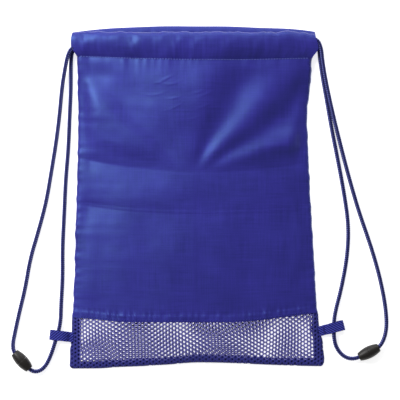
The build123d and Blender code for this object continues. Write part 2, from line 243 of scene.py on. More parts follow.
def valley(distance, depth, above, below):
    """A pressed crease that cloth dips into from both sides, at distance 0."""
    reach = np.where(distance > 0, above, below)
    return -depth * np.exp(-np.abs(distance) / reach)


def wrinkles(x, y):
    r = np.random.default_rng(91)
    total = 0.0
    for _ in range(WRINKLES):
        place_x, place_y = r.uniform(-48, 12), r.uniform(78, 124)
        lean, length, height = math.radians(r.uniform(-14, 24)), r.uniform(5, 11), r.uniform(0.12, 0.26)
        across, along = x - place_x, y - place_y
        line = across * math.cos(lean) + along * math.sin(lean)
        off = along * math.cos(lean) - across * math.sin(lean) - 0.012 * np.square(line)
        total = total + height * bell(off / 0.95) * bell(line / length)
    return total


def folds(x, y):
    """How far the front's cloth stands off its plain crown."""
    upper = 26.0 + 13.5 * np.square((x - 8) / 125)
    lower = -14.8 + 9.5 * np.abs((x - 15) / 135) ** 2.5
    total = valley(y - upper, 0.9 + 1.0 * np.square((x - 8) / 110), 10.0, 20.0) * smooth((x + 125) / 20)
    total += valley(y - lower, 0.8 + 1.6 * np.square((x - 25) / 140), 9.0, 24.0)
    total += 0.34 * bell((y - lower) / 0.8)
    # the crease down the middle, a low ridge below the fan and a valley in it
    ridge = smooth((32 - y) / 30)
    total += (1.5 * ridge - 0.2) * np.exp(-np.abs(x - CREASE_X) / 34.0)
    # the fan, whose folds bend as they near its point
    across, along = x - FAN_X, y - FAN_Y
    away = np.hypot(across, along)
    angle = np.degrees(np.arctan2(along, across))
    bend = np.clip((90 - angle) / 25, -1, 1) * 6.0 * smooth((90 - away) / 90) * smooth((along - 6) / 30)
    angle = angle - bend
    fade = smooth((y - upper + 2) / 26) * smooth(away / 34) * (0.35 + 0.65 * smooth((hem_seam(x) - y) / 30))
    total += through(FAN, angle) * np.minimum(away, FAN_REACH) / 100 * fade * smooth(side_inset(x, y) / 22)
    # slack under the facet at the right, and a swell beside the left edge with slack above it
    total -= 1.6 * bell((x - 92) / 26) * bell((y - 44) / 8)
    total += 1.8 * bell((x + 90) / 34) * bell((y - 104) / 26)
    total -= 1.1 * bell((x + 96) / 13) * bell((y - 126) / 10)
    # a slack curved fold at the lower right and one at the lower left
    curve = x - 104 + 0.0045 * np.square(y + 40)
    total += 1.0 * bell(curve / 8) * smooth((8 - y) / 25) * smooth((y + 105) / 40)
    total += 0.8 * bell((x + 108) / 9) * smooth((-10 - y) / 30) * smooth((y + 118) / 30)
    # the dip at the hem, gathers just under it, and the panel's lower hem with its small puckers
    under = hem_seam(x) - y
    middle = bell((x + 22) / 48)
    total -= (1.8 + 1.3 * middle) * np.exp(-np.abs(under) / (8.0 + 8.0 * middle))
    gather = waves(x, 0.12 * y, 15.0, 11) + 0.5 * waves(x, 0.1 * y, 6.5, 12)
    total += 0.20 * gather * np.exp(-np.abs(under - 2) / 9.0)
    over = y - band_seam(x)
    pucker = waves(x + 0.3 * y, 0.05 * y, 5.5, 13)
    total += 0.55 * pucker * np.exp(-np.square((over - 6) / 3.5)) + 0.5 * smooth((7.5 - over) / 1.5)
    return total + 0.45 * waves(x, y, 55.0, 14) + 0.05 * waves(x, y, 15.0, 15) + wrinkles(x, y)


def soft_max(a, b, blur=0.3):
    return (a + b + np.sqrt(np.square(a - b) + blur**2)) / 2


EDGE_LOW_Z = 0.7  # the upper face's height where the front meets the back at its very edge


def front_height(x, y):
    """Height of the front's upper face."""
    left, right = left_edge(y), right_edge(y)
    inset = np.maximum(np.minimum(x - left, right - x), 0.0)
    bottom = np.maximum(y - bottom_edge(x), 0.0)
    skirt = 1 - np.exp(-np.minimum(inset, bottom) / 0.9)
    flange = BINDING_TOP_Z + 0.3
    edge = flange + (CASING_LOW_Z + 2.1 - flange) * smooth((y - 100) / 48)
    rise = 0.8 + (CREST_Z - flange - 2.8) * (1 - np.exp(-(y - BOTTOM_Y) / 55)) - 4.6 * smooth((y - 90) / 58)
    relief = folds(x, y) * smooth(inset / 14) * smooth((bottom - 2) / 14)
    sewn = 0.42 * waves(y, 0, 9.0, 21) * np.exp(-inset / 3.5) * smooth(inset / 1.5)
    height = EDGE_LOW_Z + (edge - EDGE_LOW_Z) * skirt + crown(x, left, right, rise) + relief + sewn
    lowest = EDGE_LOW_Z + (BINDING_TOP_Z + 0.45 - EDGE_LOW_Z) * skirt
    return soft_max(height, lowest)


# --- meshes ---
def in_scene(name, data):
    made = bpy.data.objects.new(name, data)
    bpy.context.scene.collection.objects.link(made)
    return made


def settle(piece, body, *nodes):
    """The piece moves with a body and stands for CAD nodes."""
    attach(piece, body)
    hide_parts(*nodes)
    return piece


def add_mesh(name, points, faces, uv=None, flat=None, material=None, normals=None):
    """A piece from points in millimetres. uv and normals are by point, and flat marks faces that aren't
    smoothed."""
    mesh = bpy.data.meshes.new(name)
    mesh.from_pydata((np.asarray(points, float) * MM).tolist(), [], [list(f) for f in faces])
    shade = np.ones(len(mesh.polygons), bool)
    if flat is not None:
        shade[np.asarray(flat, int)] = False
    mesh.polygons.foreach_set("use_smooth", shade)
    at = np.empty(len(mesh.loops), np.int32)
    mesh.loops.foreach_get("vertex_index", at)
    if uv is not None:
        layer = mesh.uv_layers.new(name="UVMap")
        layer.data.foreach_set("uv", np.asarray(uv, np.float32)[at].ravel())
    if material is not None:
        mesh.materials.append(material)
    mesh.update()
    if normals is not None:
        owners = np.repeat(np.arange(len(mesh.polygons)), [p.loop_total for p in mesh.polygons])
        facing = np.array([p.normal for p in mesh.polygons])
        chosen = np.where(shade[owners][:, None], np.asarray(normals)[at], facing[owners])
        mesh.normals_split_custom_set(chosen.tolist())
    return in_scene(name, mesh)


def quads(rows, columns, start=0, wrap=False, turn=False):
    """The faces of a grid of points, rows by columns; wrap joins the last column to the first."""
    last = columns if wrap else columns - 1
    i, j = np.meshgrid(np.arange(rows - 1), np.arange(last), indexing="ij")
    k = (j + 1) % columns
    faces = np.stack([i * columns + j, i * columns + k, (i + 1) * columns + k, (i + 1) * columns + j], -1)
    faces = faces.reshape(-1, 4) + start
    return faces[:, ::-1] if turn else faces


def grid_normals(grid, wrap=False):
    """Which way a grid faces at each point; wrap says that its last column meets the first."""
    across = np.roll(grid, -1, 1) - np.roll(grid, 1, 1) if wrap else np.gradient(grid, axis=1)
    normals = np.cross(across, np.gradient(grid, axis=0))
    return normals / np.maximum(np.linalg.norm(normals, axis=2, keepdims=True), 1e-9)


GHOSTS = {"left": slice(None, -1), "right": slice(1, None)}  # what is left of a half without its ghost


def two_faced(name, outer, inner, normals, faces, uv, smoothed, material, ghost):
    """A piece from its two faces' points. Only the first faces are smoothed, and beside a ghost they are
    shaded by the normals, so that two halves look like one."""
    points = np.concatenate([outer.reshape(-1, 3), inner.reshape(-1, 3)])
    shading = np.concatenate([normals.reshape(-1, 3), -normals.reshape(-1, 3)]) if ghost else None
    flat = np.arange(smoothed, len(faces))
    return add_mesh(name, points, faces, np.concatenate([uv, uv]), flat, material, shading)


def cloth(name, grid, thick, material, uv=None, ghost=None):
    """A sheet with a thickness: grid is its upper face, rows up and columns to the right. ghost is the side
    of a half whose column past the crease only tells how the cloth runs on in the other half."""
    normals = grid_normals(grid)
    if ghost:
        grid, normals = grid[:, GHOSTS[ghost]], normals[:, GHOSTS[ghost]]
    rows, columns, _ = grid.shape
    under = grid - normals * thick
    size = rows * columns
    top, low = quads(rows, columns), quads(rows, columns, size, turn=True)
    ring = np.concatenate([
        np.arange(columns),
        np.arange(1, rows) * columns + columns - 1,
        (rows - 1) * columns + np.arange(columns - 2, -1, -1),
        np.arange(rows - 2, 0, -1) * columns,
    ])
    after = np.roll(ring, -1)
    rim = np.stack([ring, ring + size, after + size, after], -1)
    if uv is None:
        uv = grid[:, :, :2].reshape(-1, 2)
    faces = np.concatenate([top, low, rim])
    return two_faced(name, grid, under, normals, faces, uv, len(top) + len(low), material, ghost)


SLEEVE_GIRTH = 60.0  # once round a casing, for its weave


def sleeve(name, grid, thick, material, ghost=None):
    """A cloth tube with a thickness: each row of grid is one closed section, rows run along it. ghost is
    as for cloth, but a row."""
    normals = grid_normals(grid, wrap=True)
    if ghost:
        grid, normals = grid[GHOSTS[ghost]], normals[GHOSTS[ghost]]
    rows, columns, _ = grid.shape
    inner = grid - normals * thick
    size = rows * columns
    faces = [quads(rows, columns, wrap=True), quads(rows, columns, size, wrap=True, turn=True)]
    for start in (0, (rows - 1) * columns):
        j = np.arange(columns)
        k = (j + 1) % columns
        rim = np.stack([start + j, start + size + j, start + size + k, start + k], -1)
        faces.append(rim if start == 0 else rim[:, ::-1])
    along = np.concatenate([[0], np.cumsum(np.linalg.norm(np.diff(grid[:, 0], axis=0), axis=1))])
    girth = np.linspace(0, SLEEVE_GIRTH, columns)
    uv = np.stack(np.broadcast_arrays(along[:, None], girth[None, :]), -1).reshape(-1, 2)
    smoothed = 2 * len(faces[0])
    return two_faced(name, grid, inner, normals, np.concatenate(faces), uv, smoothed, material, ghost)


def strand_values(piece, values):
    """How far out of the yarn's shadow each point is, which the yarn materials paint as shade and light."""
    attribute = piece.data.attributes.new("yarn_painted_shade", "FLOAT", "POINT")
    attribute.data.foreach_set("value", np.asarray(values, np.float32))


def joined(parts):
    """Several (points, faces) lists as one."""
    points, faces, start = [], [], 0
    for some, shape in parts:
        points.append(np.asarray(some, float))
        faces.extend([[i + start for i in f] for f in shape])
        start += len(some)
    return np.concatenate(points), faces


# --- materials ---
def new_material(name, base, roughness, specular=0.5, sheen=0.0, sheen_tint=(1, 1, 1), sheen_rough=0.5):
    material = bpy.data.materials.new(name)
    material.use_nodes = True
    shader = material.node_tree.nodes["Principled BSDF"]
    shader.inputs["Base Color"].default_value = (*base, 1)
    shader.inputs["Roughness"].default_value = roughness
    shader.inputs["Specular IOR Level"].default_value = specular
    shader.inputs["Sheen Weight"].default_value = sheen
    shader.inputs["Sheen Tint"].default_value = (*sheen_tint, 1)
    shader.inputs["Sheen Roughness"].default_value = sheen_rough
    return material, material.node_tree, shader


def node(tree, kind, inputs=(), **settings):
    made = tree.nodes.new(kind)
    for key, value in settings.items():
        setattr(made, key, value)
    for key, value in dict(inputs).items():
        if isinstance(value, bpy.types.NodeSocket):
            tree.links.new(value, made.inputs[key])
        else:
            made.inputs[key].default_value = value
    return made


def math_node(tree, operation, a, b):
    return node(tree, "ShaderNodeMath", {0: a, 1: b}, operation=operation).outputs[0]


def mixture(tree, a, share_a, b, share_b):
    """The sum of two values, each times its share."""
    scaled = [math_node(tree, "MULTIPLY", value, share) for value, share in ((a, share_a), (b, share_b))]
    return math_node(tree, "ADD", *scaled)


def spread(tree, value, start, end, low, high):
    """A value brought from the range start..end to low..high."""
    return node(tree, "ShaderNodeMapRange", {"Value": value, 1: start, 2: end, 3: low, 4: high}).outputs[0]


def surface_place(tree):
    return node(tree, "ShaderNodeUVMap", uv_map="UVMap").outputs[0]


def dress(tree, shader, colour, height, strength, depth, roughness=None):
    """Joins up a shader's colour, its roughness and its bump, whose depth is in millimetres."""
    bump = node(tree, "ShaderNodeBump", {"Height": height, "Strength": strength, "Distance": depth * MM})
    tree.links.new(colour, shader.inputs["Base Color"])
    tree.links.new(bump.outputs[0], shader.inputs["Normal"])
    if roughness:
        tree.links.new(roughness, shader.inputs["Roughness"])


def stretched_noise(tree, coordinates, scale, detail=2.0):
    place = node(tree, "ShaderNodeMapping", {"Vector": coordinates, "Scale": scale})
    made = node(tree, "ShaderNodeTexNoise", {"Vector": place.outputs[0], "Scale": 1.0, "Detail": detail})
    return made.outputs["Fac"]


def ramp(tree, fac, stops):
    made = node(tree, "ShaderNodeValToRGB", {"Fac": fac})
    while len(made.color_ramp.elements) < len(stops):
        made.color_ramp.elements.new(0.5)
    for element, (place, colour) in zip(made.color_ramp.elements, stops):
        element.position = place
        element.color = (*colour, 1)
    return made.outputs["Color"]


THREAD_PITCH = 0.42
WAVE_PERIOD = 0.314  # the wave texture's, at scale 1
CONTRAST = 0.26  # how far the cloth's shade strays either way


def woven(name, base, roughness=0.46):
    """Plain-woven cloth: threads both ways, slubs along them, and slow shade changes."""
    material, tree, shader = new_material(name, base, roughness, 1.0, 0.05, (0.55, 0.66, 1.0), 0.4)
    shader.inputs["Specular Tint"].default_value = (0.24, 0.50, 1.0, 1)
    uv = surface_place(tree)
    threads = {"Vector": uv, "Scale": WAVE_PERIOD / THREAD_PITCH, "Distortion": 0.4}
    warp, weft = (
        node(tree, "ShaderNodeTexWave", threads, bands_direction=way).outputs["Fac"] for way in "XY"
    )
    slub_up = stretched_noise(tree, uv, (0.9, 0.03, 1))
    slub_across = stretched_noise(tree, uv, (0.03, 0.9, 1))
    slow = stretched_noise(tree, uv, (0.02, 0.03, 1), 3.0)
    mixed = math_node(tree, "ADD", math_node(tree, "ADD", slub_up, slub_across), slow)
    mixed = math_node(tree, "MULTIPLY", mixed, 1 / 3)
    dark, light = (tuple(c * share for c in base) for share in (1 - CONTRAST, 1 + CONTRAST))
    height = math_node(tree, "MULTIPLY", warp, weft)
    for slub in (slub_across, slub_up):
        height = mixture(tree, height, 1.0, slub, 0.8)
    shade = ramp(tree, mixed, [(0.35, dark), (0.65, light)])
    rough = spread(tree, mixed, 0.35, 0.65, roughness - 0.04, roughness + 0.05)
    dress(tree, shader, shade, height, 0.6, 0.03, rough)
    return material


def fuzzy(name, base, light, scale=1.4, sheen=0.05, steps=(0.2, 0.55, 0.95)):
    """Yarn: fine uneven fibres, with painted shade where the yarn lies deep and painted light where it stands
    out, from a value kept at each point. steps are where its three shades lie.
    """
    material, tree, shader = new_material(name, base, 0.7, 0.22, sheen, (0.6, 0.7, 1.0), 0.5)
    fibre = stretched_noise(tree, surface_place(tree), (scale, scale * 0.35, 1), 4.0)
    # painted shade and light: each point's value darkens the yarn in its grooves and lightens it on its backs
    painted_shade_share = node(tree, "ShaderNodeAttribute", attribute_name="yarn_painted_shade").outputs["Fac"]
    shades = (tuple(c * 0.35 for c in base), base, light)
    shade = ramp(tree, mixture(tree, fibre, 0.45, painted_shade_share, 0.75), list(zip(steps, shades)))
    dress(tree, shader, shade, fibre, 0.5, 0.05)
    return material


def moulded(name, base, roughness):
    """Moulded plastic with faint flow marks and fine handling scratches."""
    material, tree, shader = new_material(name, base, roughness)
    uv = surface_place(tree)
    flow = stretched_noise(tree, uv, (0.25, 0.9, 1), 4.0)
    scratch = stretched_noise(tree, uv, (0.4, 9.0, 1), 3.0)
    shade = ramp(tree, flow, [(0.3, tuple(c * 0.8 for c in base)), (0.7, tuple(c * 1.25 for c in base))])
    both = mixture(tree, flow, 0.5, scratch, 0.5)
    rough = spread(tree, both, 0.3, 0.7, roughness - 0.07, roughness + 0.12)
    dress(tree, shader, shade, both, 0.35, 0.04, rough)
    return material


TAFFETA = woven("taffeta", (0.0295, 0.0172, 0.242))
LINING = woven("taffeta_back", (0.0295, 0.0175, 0.240), roughness=0.52)
# the mesh's light shade is the painted light on strands round open holes
MESH = fuzzy("mesh_yarn", (0.032, 0.034, 0.250), (0.210, 0.200, 0.520), scale=2.0, steps=(0.2, 0.5, 0.85))
# painted shade: the folded mesh under the front layer is a darker copy of the mesh yarn
ALLOWANCE_SHADED = fuzzy("mesh_allowance_shaded", (0.022, 0.022, 0.210), (0.045, 0.045, 0.330), scale=1.5)
# the cord's light shade is the painted highlight on the braid's strand backs
CORD = fuzzy("cord_braid", (0.0110, 0.0130, 0.105), (0.200, 0.220, 0.620), 2.4, 0.0, (0.22, 0.68, 0.95))
TAPE = fuzzy("twill_tape", (0.0180, 0.0200, 0.230), (0.060, 0.070, 0.480), scale=1.8, steps=(0.22, 0.6, 0.9))
THREAD = fuzzy("thread", (0.100, 0.130, 0.480), (0.200, 0.250, 0.700), scale=3.0)
DARK_THREAD = fuzzy("dark_thread", (0.024, 0.024, 0.230), (0.045, 0.045, 0.340), scale=3.0)
PLASTIC = moulded("connector_black", (0.0068, 0.0050, 0.0034), 0.44)


# --- cords ---
ROUTES = {
    "left_cord_outer": [
        (-120.3, 153.0, 10.8), (-126.4, 152.0, 9.9), (-130.8, 145.0, 8.8), (-133.6, 132.0, 6.9),
        (-137.2, 112.0, 4.2), (-139.6, 86.0, 2.4), (-143.0, 58.0, 2.1), (-148.2, 26.0, 2.1),
        (-153.4, -5.0, 2.1), (-161.8, -36.0, 2.1), (-169.6, -62.0, 2.1), (-174.6, -92.0, 2.1),
        (-181.0, -118.0, 2.1), (-185.0, -137.0, 2.6), (-187.0, -147.6, 4.6), (-186.38, -156.02, 6.2),
        (-183.14, -159.55, 6.2),
    ],
    "left_cord_inner_upper": [
        (-119.8, 153.0, 3.1), (-124.6, 153.0, 3.1), (-127.6, 146.4, 3.0), (-128.4, 134.0, 2.4),
        (-128.2, 112.0, 2.1), (-129.6, 82.0, 2.1), (-130.8, 50.0, 2.1), (-133.6, 18.0, 2.1),
        (-135.0, -16.0, 2.1), (-136.8, -50.0, 2.1), (-136.6, -82.0, 2.1), (-138.2, -108.0, 2.4),
        (-138.6, -129.2, 3.7), (-142.2, -140.7, 3.7),
    ],
    "left_cord_inner_lower": [
        (-142.2, -140.7, 3.7), (-145.19, -150.24, 3.7), (-149.0, -161.4, 2.3), (-153.3, -170.2, 2.6),
        (-158.4, -175.4, 3.7), (-164.0, -176.9, 5.0), (-168.82, -175.18, 6.2), (-172.06, -171.65, 6.2),
    ],
    "right_cord_outer": [
        (115.3, 161.0, 10.9), (121.6, 160.2, 9.9), (125.6, 152.0, 9.0), (127.0, 139.0, 7.6),
        (130.0, 121.0, 6.6), (134.6, 98.6, 6.3), (140.4, 74.0, 5.2), (147.6, 46.0, 2.9),
        (155.6, 16.0, 2.1), (165.0, -16.0, 2.1), (175.6, -46.0, 2.1), (184.6, -76.0, 2.1),
        (190.6, -104.0, 2.1), (193.0, -126.0, 2.2), (191.4, -140.0, 3.4), (185.93, -151.10, 6.2),
        (181.64, -153.24, 6.2),
    ],
    "right_cord_inner_upper": [
        (114.8, 161.0, 3.1), (120.8, 161.0, 3.1), (124.0, 153.4, 3.0), (124.8, 141.0, 2.7),
        (127.6, 122.0, 2.1), (132.0, 98.0, 2.1), (136.8, 70.0, 2.1), (142.8, 40.0, 2.1),
        (149.2, 6.0, 2.1), (154.2, -28.0, 2.1), (152.8, -60.0, 2.1), (146.8, -92.0, 2.1),
        (141.2, -113.0, 2.5), (138.7, -126.6, 3.7), (139.0, -137.6, 3.7),
    ],
    "right_cord_inner_lower": [
        (139.0, -137.6, 3.7), (139.26, -147.20, 3.7), (144.2, -156.8, 2.6), (150.0, -161.9, 3.6),
        (156.4, -163.7, 5.0), (162.67, -162.70, 6.2), (166.96, -160.56, 6.2),
    ],
}


def spline_points(points):
    """The points, in millimetres, of the smooth line that a cord's route gives."""
    curve = bpy.data.curves.new("route", "CURVE")
    curve.dimensions = "3D"
    spline = curve.splines.new("NURBS")
    spline.points.add(len(points) - 1)
    for point, place in zip(spline.points, points):
        point.co = (*[c * MM for c in place], 1)
    spline.order_u = 3
    spline.use_endpoint_u = True
    spline.resolution_u = 24
    holder = in_scene("route", curve)
    bpy.context.view_layer.update()
    line = bpy.data.meshes.new_from_object(holder)
    found = np.array([v.co for v in line.vertices], float) * 1000
    bpy.data.objects.remove(holder)
    bpy.data.curves.remove(curve)
    bpy.data.meshes.remove(line)
    return found


def evenly(line, step):
    """The same line with points a fixed step apart."""
    lengths = np.concatenate([[0], np.cumsum(np.linalg.norm(np.diff(line, axis=0), axis=1))])
    count = max(2, int(round(lengths[-1] / step)) + 1)
    at = np.linspace(0, lengths[-1], count)
    return np.stack([np.interp(at, lengths, line[:, k]) for k in range(3)], -1), at


def frames(line):
    """Two directions square to the line at each point, without twist."""
    ahead = unit(np.gradient(line, axis=0))
    side = np.empty_like(line)
    side[0] = unit(np.cross(ahead[0], (0.0, 0.0, 1.0)))
    for i in range(1, len(line)):
        side[i] = unit(side[i - 1] - ahead[i] * (side[i - 1] @ ahead[i]))
    return side, np.cross(ahead, side)


BRAID_COUNT, BRAID_PITCH = 4, 8.4  # strands each way round the cord, and the length of one turn of them


def braid(around, along):
    """Height of the braid's strands, 0 in the grooves to 1 on their backs, and their painted shade, which is
    darker in the grooves and lighter on the backs; the strands that run one way are lighter."""
    p = BRAID_COUNT * (around / math.tau + along / BRAID_PITCH)
    q = BRAID_COUNT * (around / math.tau - along / BRAID_PITCH)
    i, j = np.floor(p), np.floor(q)
    a, b = p - i - 0.5, q - j - 0.5
    over = (i + j) % 2 < 0.5
    across, lengthways = np.where(over, a, b), np.where(over, b, a)
    height = np.sqrt(share_of(1 - (1.85 * across) ** 2)) * (0.55 + 0.45 * np.cos(math.pi * lengthways))
    return height, height * np.where(over, 1.0, 0.6)


def braided(name, line, diameter=CORD_D, step=0.4, sides=36):
    """A braided cord along a line of points, with closed ends."""
    line, at = evenly(line, step)
    side, up = frames(line)
    around = np.linspace(0, math.tau, sides, endpoint=False)
    relief, shade = braid(around[None, :], at[:, None])
    radius = diameter / 2 * (0.955 + 0.09 * relief)
    ring = np.cos(around)[None, :, None] * side[:, None] + np.sin(around)[None, :, None] * up[:, None]
    grid = line[:, None] + radius[:, :, None] * ring
    rows = len(line)
    faces = [list(f) for f in quads(rows, sides, wrap=True)]
    points = np.concatenate([grid.reshape(-1, 3), line[:1], line[-1:]])
    for start, tip, turn in ((0, rows * sides, True), ((rows - 1) * sides, rows * sides + 1, False)):
        for j in range(sides):
            face = [start + j, start + (j + 1) % sides, tip]
            faces.append(face[::-1] if turn else face)
    girth = np.minimum(around, math.tau - around)[None, :] * diameter / 2
    uv = np.stack(np.broadcast_arrays(girth, at[:, None]), -1).reshape(-1, 2)
    uv = np.concatenate([uv, [(0, 0), (0, at[-1])]])
    piece = add_mesh(name, points, faces, uv, None, CORD)
    # painted shade on the braid, with a middle shade at its two end points
    strand_values(piece, np.append(shade.ravel(), (0.3, 0.3)))
    return piece, line


# --- camera, floor and light ---
SENSOR, CAMERA_HEIGHT, VIEW_WIDTH = 36.0, 1.6, 0.4062  # the view is that wide, in metres, at the floor
camera_data = bpy.data.cameras.new("camera")
camera_data.sensor_width = SENSOR
camera_data.lens = SENSOR * CAMERA_HEIGHT / VIEW_WIDTH
camera = in_scene("camera", camera_data)
camera.location = (0.0030, -0.0025, 1.604)
bpy.context.scene.camera = camera

bpy.context.scene.view_settings.view_transform = "Standard"
bpy.context.scene.view_settings.look = "None"
world = bpy.data.worlds.new("studio")
world.use_nodes = True
world.node_tree.nodes["Background"].inputs["Color"].default_value = (1, 1, 1, 1)
world.node_tree.nodes["Background"].inputs["Strength"].default_value = 0.27
bpy.context.scene.world = world


def soft_light(name, place, size, watts):
    light = bpy.data.lights.new(name, "AREA")
    light.shape = "RECTANGLE"
    light.size, light.size_y = size
    light.energy = watts
    holder = in_scene(name, light)
    holder.location = place
    holder.rotation_mode = "QUATERNION"
    holder.rotation_quaternion = (-Vector(place)).to_track_quat("-Z", "Y")


soft_light("key", (-0.85, 0.62, 0.98), (0.6, 0.45), 17.5)
soft_light("top", (0.20, 1.25, 0.62), (1.0, 0.4), 6.5)

floor_material, _, floor_shader = new_material("floor", (0.93, 0.93, 0.93), 0.9, 0.1)
floor_shader.inputs["Emission Color"].default_value = (1, 1, 1, 1)
floor_shader.inputs["Emission Strength"].default_value = 0.72
floor = add_mesh(
    "floor", [(-2500, -2500, 0), (2500, -2500, 0), (2500, 2500, 0), (-2500, 2500, 0)], [(0, 1, 2, 3)],
    material=floor_material,
)

# --- build: cords ---
lines = {name: spline_points(points) for name, points in ROUTES.items()}
cord_pieces = {name: braided(name + "_braid", line) for name, line in lines.items()}


# --- build: the connectors ---
def pair_places(side):
    """Where one side's loop and connector are, and which way they point, from the frame."""
    hinge, slide = JOINTS[f"{side}_loop_lift"], JOINTS[f"{side}_connector_release"]
    root = np.array(hinge["pos_m"][:2]) * 1000
    out = np.array([-hinge["axis"][1], hinge["axis"][0]])
    boxes = [corners(f"{side}_connector_{half}") for half in ("plug", "socket")]
    return {
        "root": root,
        "out": out,
        "length": float(((node_points(f"{side}_side_loop")[:, :2] - root) @ out).max()),
        "olive": (np.min(boxes, axis=(0, 1)) + np.max(boxes, axis=(0, 1))) / 2,
        "way": -np.array(slide["axis"][:2]),
    }


PLACES = {side: pair_places(side) for side in ("left", "right")}
OLIVE_R = (corners("left_connector_plug")[1][2] - corners("left_connector_plug")[0][2]) / 2
OLIVE_HALF = 11.25


def turned_piece(name, outline, side, sign, material, sides=72):
    """A body of revolution along a connector's axis, from its outline (distance along, radius)."""
    outline = np.array(outline, float)
    middle, (way_x, way_y) = PLACES[side]["olive"], PLACES[side]["way"]
    around = np.linspace(0, math.tau, sides, endpoint=False)
    shape = (len(outline), sides)
    along = np.broadcast_to(sign * outline[:, :1], shape)
    across = outline[:, 1:2] * np.cos(around)[None, :]
    up = outline[:, 1:2] * np.sin(around)[None, :]
    points = np.stack([
        middle[0] + along * way_x - across * way_y,
        middle[1] + along * way_y + across * way_x,
        middle[2] + up,
    ], -1)
    faces = quads(len(outline) + 1, sides, wrap=True, turn=sign < 0) % (len(outline) * sides)
    girth = np.minimum(around, math.tau - around)[None, :] * OLIVE_R
    uv = np.stack(np.broadcast_arrays(along, girth), -1)
    return add_mesh(name, points.reshape(-1, 3), faces, uv.reshape(-1, 2), None, material)


def olive_half(side, kind):
    """One half of a connector: barrel flank, rolled end, countersunk mouth, and its own inside."""
    sign = 1 if kind == "plug" else -1
    drop = 2.2
    flank_r = (OLIVE_HALF**2 + drop**2) / (2 * drop)
    groove = [(0.04, 5.6), (0.04, 6.02), (0.1, 6.12), (0.24, 6.17)]
    flank = [(x, OLIVE_R - flank_r + math.sqrt(flank_r**2 - x * x)) for x in np.linspace(0.55, 10.95, 30)]
    end = [(11.12, 3.98), (11.22, 3.86), (11.25, 3.68), (11.25, 3.5), (11.2, 3.36), (11.05, 3.22)]
    mouth = [(10.6, 3.0), (10.0, 2.62), (9.6, 2.35), (9.3, 2.2), (8.8, 2.1), (8.2, 2.08)]
    mouth += [(8.18, 2.4), (8.1, 2.9)]
    spigot = [(3.0, 2.9), (-4.45, 2.9), (-4.5, 3.1), (-4.5, 3.45), (-4.35, 3.58), (0.0, 3.58), (0.06, 3.7)]
    bore = [(5.05, 2.9), (5.0, 3.0), (5.0, 3.7), (0.1, 3.7), (0.06, 3.75)]
    inside = spigot if kind == "plug" else bore
    piece = turned_piece(f"{side}_olive_{kind}", groove + flank + end + mouth + inside, side, sign, PLASTIC)
    return piece


def cord_end(side, kind):
    """The cord's heat-pressed end inside its half."""
    outline = [
        (3.2, 0.01), (3.25, 1.2), (3.5, 2.1), (4.2, 2.55), (5.2, 2.72), (6.2, 2.75), (7.2, 2.62), (7.8, 2.3),
        (8.12, 1.7), (8.15, 0.01),
    ]
    piece = turned_piece(f"{side}_cord_end_{kind}", outline, side, 1 if kind == "plug" else -1, CORD, 32)
    strand_values(piece, np.full(len(piece.data.vertices), 0.5))
    return piece


def free_cords(side, lengths):
    """One side's connector and the three free runs of its cord; their lengths in metres are not used."""
    kinds = (("plug", "back"), ("socket", f"{side}_release"))
    fitted = {}
    for kind, body in kinds:
        fitted[kind] = [settle(olive_half(side, kind), body, f"{side}_connector_{kind}")]
    for kind, body in kinds:
        fitted[kind].append(settle(cord_end(side, kind), body, f"{side}_{kind}_knot"))
    # run, the body named for its end, two places along it, what is on its far end; only the run is used
    runs = (
        ("outer", "release", -150, -12, "fitting", fitted["socket"]),
        ("inner_upper", "loop", -150, -20, "object", []),
        ("inner_lower", "loop", -40, 8, "fitting", fitted["plug"]),
    )
    for (run, body, held, free, far_end, pieces), length in zip(runs, lengths):
        piece, line = cord_pieces[f"{side}_cord_{run}"]
        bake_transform(piece)
        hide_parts(f"{side}_cord_{run}")


free_cords("left", (0.3262, 0.2994, 0.0546))
free_cords("right", (0.3332, 0.3085, 0.0458))


# --- build: the cords inside the casings ---
def halves(build, *nodes):
    """Builds a front piece as a left and a right half."""
    made = {}
    for side, sign in (("left", -1), ("right", 1)):
        piece = build(side)
        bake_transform(piece)
        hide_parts(*nodes)
        made[side] = piece
    return made


def casing_cord(side):
    """One cord's hidden runs: across the front casing, round the far corner and back across the rear."""
    (x_low, *low), (x_high, *high) = corners(f"{side}_cord_back_run")
    y, back_z = (low[0] + high[0]) / 2, (low[1] + high[1]) / 2
    front_low, front_high = corners(f"{side}_cord_front_run")
    far_x, outward = (x_high, 1) if side == "left" else (x_low, -1)
    end_z = CASING_LOW_Z + CASING_THICK / 2

    def front_run(half):
        ends = (front_low[0], CREASE_X) if half == "left" else (CREASE_X, front_high[0])
        xs = np.linspace(*ends, 80)
        slack = 0.9 * smooth((xs - front_low[0]) / 15) * smooth((front_high[0] - xs) / 15)
        line = np.stack([xs, np.full_like(xs, y), end_z + casing_arch(xs) - slack], -1)
        return braided(f"{side}_front_run_{half}", line, HIDDEN_D, 0.6, 24)[0]

    halves(front_run, f"{side}_cord_front_run")
    line = np.array([(x_low, y, back_z), (x_high, y, back_z)])
    back_run, _ = braided(f"{side}_back_run_braid", line, HIDDEN_D, 0.6, 24)
    settle(back_run, "back", f"{side}_cord_back_run")
    half_height = (end_z + float(casing_arch(far_x)) - back_z) / 2
    angle = np.radians(np.linspace(90, -90, 30))
    line = np.stack([
        far_x + outward * half_height * np.cos(angle),
        np.full_like(angle, y),
        back_z + half_height * (1 + np.sin(angle)),
    ], -1)
    turn, _ = braided(f"{side}_turn_braid", line, HIDDEN_D, 0.4, 24)
    settle(turn, "back", f"{side}_cord_turn")


for side in PLACES:
    casing_cord(side)


